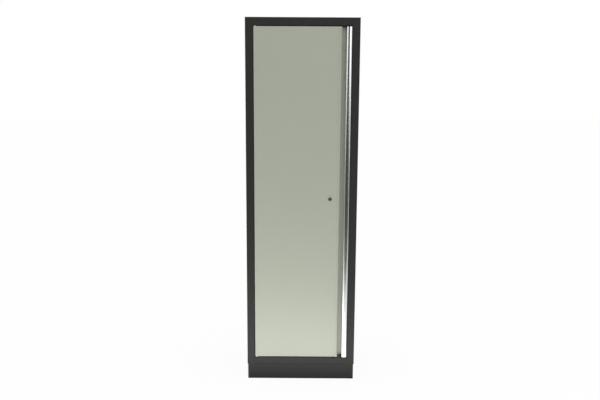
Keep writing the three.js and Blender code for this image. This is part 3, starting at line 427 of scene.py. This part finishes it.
def channel_section(bm):
    face = -CHANNEL_SEAT - CHANNEL_SHEET
    roll = (RIM_WIDTH - CHANNEL_BEND - CHANNEL_SHEET, face + CHANNEL_BEND + CHANNEL_SHEET)
    floor = CHANNEL_DEPTH - CHANNEL_SHEET
    left = (RIM_WIDTH + CHANNEL_BEND, floor - CHANNEL_BEND)
    right = (CHANNEL_RIGHT - CHANNEL_BEND, floor - CHANNEL_BEND)
    outside = CHANNEL_RIGHT + CHANNEL_SHEET
    corner = bm.verts.new((0, -CHANNEL_SEAT, 0))
    corner = line_to(bm, corner, (0, face + RIM_EDGE))
    corner = arc_round(bm, corner, (RIM_EDGE, face + RIM_EDGE), 90)
    corner = line_to(bm, corner, (roll[0], face))
    corner = arc_round(bm, corner, roll, 90)
    corner = line_to(bm, corner, (RIM_WIDTH, left[1]))
    corner = arc_round(bm, corner, left, -90)
    corner = line_to(bm, corner, (right[0], floor))
    corner = arc_round(bm, corner, right, -90)
    corner = line_to(bm, corner, (CHANNEL_RIGHT, CHANNEL_WALL_HEAD))
    corner = line_to(bm, corner, (outside, CHANNEL_WALL_HEAD))
    corner = line_to(bm, corner, (outside, right[1]))
    corner = arc_round(bm, corner, right, 90)
    corner = line_to(bm, corner, (left[0], CHANNEL_DEPTH))
    corner = arc_round(bm, corner, left, 90)
    corner = line_to(bm, corner, (RIM_WIDTH - CHANNEL_SHEET, roll[1]))
    arc_round(bm, corner, roll, -90)


def full_height(draw_section, name, material, slot, node):
    low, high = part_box(node)
    bm = bmesh.new()
    draw_section(bm)
    bmesh.ops.remove_doubles(bm, verts=bm.verts, dist=SECTION_REACH)
    bm.verts.ensure_lookup_table()
    section = bm.faces.new(bm.verts)
    bmesh.ops.scale(bm, vec=(MM, MM, 1), verts=bm.verts)
    bmesh.ops.translate(bm, vec=(pull_left, door_low.y, low.z), verts=bm.verts)
    grown = bmesh.ops.extrude_face_region(bm, geom=[section])["geom"]
    lifted = [part for part in grown if isinstance(part, bmesh.types.BMVert)]
    bmesh.ops.translate(bm, vec=(0, 0, high.z - low.z), verts=lifted)
    bmesh.ops.recalc_face_normals(bm, faces=bm.faces)
    round_bends(bm)
    finished(bm, name, "door", material, slot, node)


full_height(channel_section, "pull_channel", silver, "silver_paint", "handle_channel")


# Pull grip: a bowed aluminium extrusion with a round tip, pressed over the channel's outer wall.
# It is polished and anodised, and keeps fine die lines along its length.
# The section's sizes are in millimetres, measured from where the channel's are.
GRIP_RIGHT = 62
GRIP_CHORD = 24.5
GRIP_PROUD = 4
GRIP_THICKNESS = 3
GRIP_WALL = 2
GRIP_WALL_DEPTH = 14
TIP_STEPS = 12
BOW_STEPS = 32
ALUMINIUM = (0.80, 0.81, 0.80, 1)
ALUMINIUM_SHADE = (0.74, 0.75, 0.74, 1)
ALUMINIUM_ROUGHNESS = 0.225
ALUMINIUM_ROUGHNESS_DRIFT = 0.025
DIE_LINE_STRETCH = (1, 1, 0.004)
DIE_LINE_SCALE = 1400
DIE_LINE_RELIEF = 0.05
DIE_LINE_DEPTH = 0.01 * MM


def extruded_aluminium():
    material, tree, shader = shader_of("bright_aluminium")
    shader.inputs["Metallic"].default_value = 1
    die_lines = grain(tree, stretch=DIE_LINE_STRETCH, Scale=DIE_LINE_SCALE, Detail=3)
    tint(tree, die_lines, ALUMINIUM_SHADE, ALUMINIUM, shader)
    vary_roughness(tree, die_lines, ALUMINIUM_ROUGHNESS, ALUMINIUM_ROUGHNESS_DRIFT, shader)
    raise_grain(tree, die_lines, DIE_LINE_RELIEF, DIE_LINE_DEPTH, shader)
    return material


def grip_section(bm):
    radius = GRIP_CHORD ** 2 / (8 * GRIP_PROUD) + GRIP_PROUD / 2
    under = radius - GRIP_THICKNESS
    half_turn = math.asin(GRIP_CHORD / 2 / radius)
    centre = Vector((GRIP_RIGHT - GRIP_CHORD / 2, radius - GRIP_PROUD))
    wall = GRIP_RIGHT - GRIP_WALL
    wall_turn = math.asin((wall - centre.x) / under)
    tip = centre - (radius - GRIP_THICKNESS / 2) * Vector((math.sin(half_turn), math.cos(half_turn)))
    corner = bm.verts.new((wall, centre.y - under * math.cos(wall_turn), 0))
    corner = arc_round(bm, corner, centre, -math.degrees(half_turn + wall_turn), BOW_STEPS)
    corner = arc_round(bm, corner, tip, 180, TIP_STEPS)
    corner = arc_round(bm, corner, centre, math.degrees(2 * half_turn), BOW_STEPS)
    corner = line_to(bm, corner, (GRIP_RIGHT, GRIP_WALL_DEPTH))
    line_to(bm, corner, (wall, GRIP_WALL_DEPTH))


full_height(grip_section, "pull_grip", extruded_aluminium(), "bright_aluminium", "handle_grip")


# Pull caps: black plastic plugs pushed into the two ends of the finger channel.
# They close the folded channel's cut ends and are held by their own spring.
for end in ("top", "bottom"):
    finish_node(f"handle_cap_{end}", black_plastic)


# Lock: a dark nickel barrel through the skin, a hexagon nut behind it, and a keyed plug that turns in it.
# The plug's driver plate pushes two flat zinc-plated rods, which slide in angles welded inside the door.
NICKEL = (0.50, 0.50, 0.46, 1)
NICKEL_SHADE = (0.42, 0.42, 0.385, 1)
NICKEL_ROUGHNESS = 0.3
nickel = plated("dark_nickel", NICKEL_SHADE, NICKEL, NICKEL_ROUGHNESS)
for part in ("lock_barrel", "lock_plug"):
    finish_node(part, nickel)
for part in ("lock_nut", "lock_driver", "driver_screw"):
    finish_node(part, zinc)
for end in ("upper", "lower"):
    finish_node(f"{end}_lock_rod", zinc)
    finish_node(f"rod_guide_{end}_end", zinc)
    finish_node(f"rod_guide_{end}_inner", zinc)


# Studio: a white floor that runs into a white surround, two soft boxes beside the camera and a low panel
# at the locker's feet. A dark cloth hung behind the camera, and one on the floor that only reflections
# show, give the metal its bands. A dark sheet inside the plinth is painted shade: it stands in for the
# shade under the locker, so the floor panel's holes show dark.
WHITE = (1, 1, 1, 1)
AMBIENT = 0.98
FLOOR_SIZE = 30
FLOOR_WHITE = (0.9, 0.9, 0.89, 1)
FLOOR_ROUGHNESS = 0.9
FLOOR_GLOW = 0.94
# Dark cloth colour, also used for the sheet of painted shade under the locker.
DARK_CLOTH_AND_SHADE = (0.06, 0.06, 0.06, 1)
CLOTH_ROUGHNESS = 1
CLOTH_WIDTH = 14.0
CLOTH_HEIGHT = 3.6
CLOTH_BACK = -6.0
CLOTH_EDGE = -1.9
CLOTH_LIFT = 0.004
# Size of the dark sheet of painted shade inside the plinth.
PAINTED_SHADE_SIZE = (0.54, 0.4)
HANGING = Matrix.Rotation(math.pi / 2, 4, "X")
LOCKER_MIDDLE = (0, 0, 1.0)


def seen_directly(tree):
    path = tree.nodes.new("ShaderNodeLightPath")
    seen = path.outputs["Is Camera Ray"]
    for ray in ("Is Glossy Ray", "Is Transmission Ray"):
        either = tree.nodes.new("ShaderNodeMath")
        either.operation = "MAXIMUM"
        tree.links.new(seen, either.inputs[0])
        tree.links.new(path.outputs[ray], either.inputs[1])
        seen = either.outputs["Value"]
    return seen


def matt(name, colour, roughness):
    material, tree, shader = shader_of(name)
    shader.inputs["Base Color"].default_value = colour
    shader.inputs["Roughness"].default_value = roughness
    shader.inputs["Specular IOR Level"].default_value = 0
    return material, tree, shader


def floor_paint():
    material, tree, shader = matt("white_floor", FLOOR_WHITE, FLOOR_ROUGHNESS)
    glow = add_node(tree, "ShaderNodeEmission", Color=WHITE, Strength=1.0)
    share = tree.nodes.new("ShaderNodeMath")
    share.operation = "MULTIPLY"
    share.inputs[1].default_value = FLOOR_GLOW
    tree.links.new(seen_directly(tree), share.inputs[0])
    mix = tree.nodes.new("ShaderNodeMixShader")
    tree.links.new(share.outputs["Value"], mix.inputs[0])
    tree.links.new(shader.outputs["BSDF"], mix.inputs[1])
    tree.links.new(glow.outputs["Emission"], mix.inputs[2])
    tree.links.new(mix.outputs["Shader"], tree.nodes["Material Output"].inputs["Surface"])
    return material


def stage_sheet(name, size, place, turn, material):
    bm = bmesh.new()
    bmesh.ops.create_grid(bm, x_segments=1, y_segments=1, size=0.5)
    bmesh.ops.scale(bm, vec=(*size, 1), verts=bm.verts)
    bm.transform(Matrix.Translation(place) @ turn)
    mesh = bpy.data.meshes.new(name)
    bm.to_mesh(mesh)
    bm.free()
    mesh.materials.append(material)
    sheet = bpy.data.objects.new(name, mesh)
    bpy.context.scene.collection.objects.link(sheet)
    return sheet


# The dark cloth's material also colours the sheet of painted shade under the locker.
cloth = matt("dark_cloth_and_painted_shade", DARK_CLOTH_AND_SHADE, CLOTH_ROUGHNESS)[0]
hung_place = (0, CLOTH_BACK, CLOTH_HEIGHT / 2)
laid_place = (0, (CLOTH_EDGE + CLOTH_BACK) / 2, CLOTH_LIFT)
laid_depth = CLOTH_EDGE - CLOTH_BACK
stage_sheet("studio_floor", (FLOOR_SIZE, FLOOR_SIZE), (0, 0, 0), UNTURNED, floor_paint())
hung = stage_sheet("hung_cloth", (CLOTH_WIDTH, CLOTH_HEIGHT), hung_place, HANGING, cloth)
laid = stage_sheet("laid_cloth", (CLOTH_WIDTH, laid_depth), laid_place, UNTURNED, cloth)
# Painted shade: a dark sheet under the locker, standing in for the shade beneath it so the floor's glow
# doesn't show through the holes.
stage_sheet("painted_shade_under_locker", PAINTED_SHADE_SIZE, (0, 0, CLOTH_LIFT), UNTURNED, cloth)
for sheet in (hung, laid):
    sheet.visible_camera = False
laid.visible_diffuse = False
laid.visible_shadow = False

world = bpy.data.worlds.new("white_surround")
bpy.context.scene.world = world
world.use_nodes = True
surround = world.node_tree
background = surround.nodes["Background"]
background.inputs["Color"].default_value = WHITE
level = add_node(surround, "ShaderNodeMapRange", To_Min=AMBIENT, To_Max=1.0)
surround.links.new(seen_directly(surround), level.inputs["Value"])
surround.links.new(level.outputs["Result"], background.inputs["Strength"])


def soft_box(name, place, aim, width, height, watts):
    lamp = bpy.data.lights.new(name, "AREA")
    lamp.shape = "RECTANGLE"
    lamp.size = width
    lamp.size_y = height
    lamp.energy = watts
    holder = bpy.data.objects.new(name, lamp)
    bpy.context.scene.collection.objects.link(holder)
    holder.location = place
    holder.rotation_euler = (Vector(aim) - Vector(place)).to_track_quat("-Z", "Y").to_euler()
    holder.visible_camera = False


soft_box("soft_box_left", place=(-3.1, -3.3, 2.6), aim=LOCKER_MIDDLE, width=2.2, height=2.6, watts=18)
soft_box("soft_box_right", place=(2.4, -3.6, 2.5), aim=LOCKER_MIDDLE, width=2.8, height=2.6, watts=36)
soft_box("foot_panel", place=(-0.25, -0.7, 0.01), aim=(-0.25, -0.7, 1.0), width=1.6, height=0.7, watts=7.2)


# Camera: it stands at a person's eye level, square to the door and looking slightly down.
# Its lens, place and angles are those of a pinhole camera fitted to the locker's edges.
LENS = 46.295
SENSOR = 36
EYE = (-0.00286, -4.31973, 1.87113)
YAW = 0.00147
PITCH = -0.20128
ROLL = -0.00587
eye = bpy.data.cameras.new("eye_level")
eye.lens = LENS
eye.sensor_width = SENSOR
camera = bpy.data.objects.new("eye_level", eye)
bpy.context.scene.collection.objects.link(camera)
heading = Matrix.Rotation(YAW, 4, "Z") @ Matrix.Rotation(PITCH, 4, "X") @ Matrix.Rotation(ROLL, 4, "Y")
camera.matrix_world = Matrix.Translation(EYE) @ heading @ Matrix.Rotation(math.pi / 2, 4, "X")
bpy.context.scene.camera = camera
bpy.context.scene.view_settings.view_transform = "Standard"
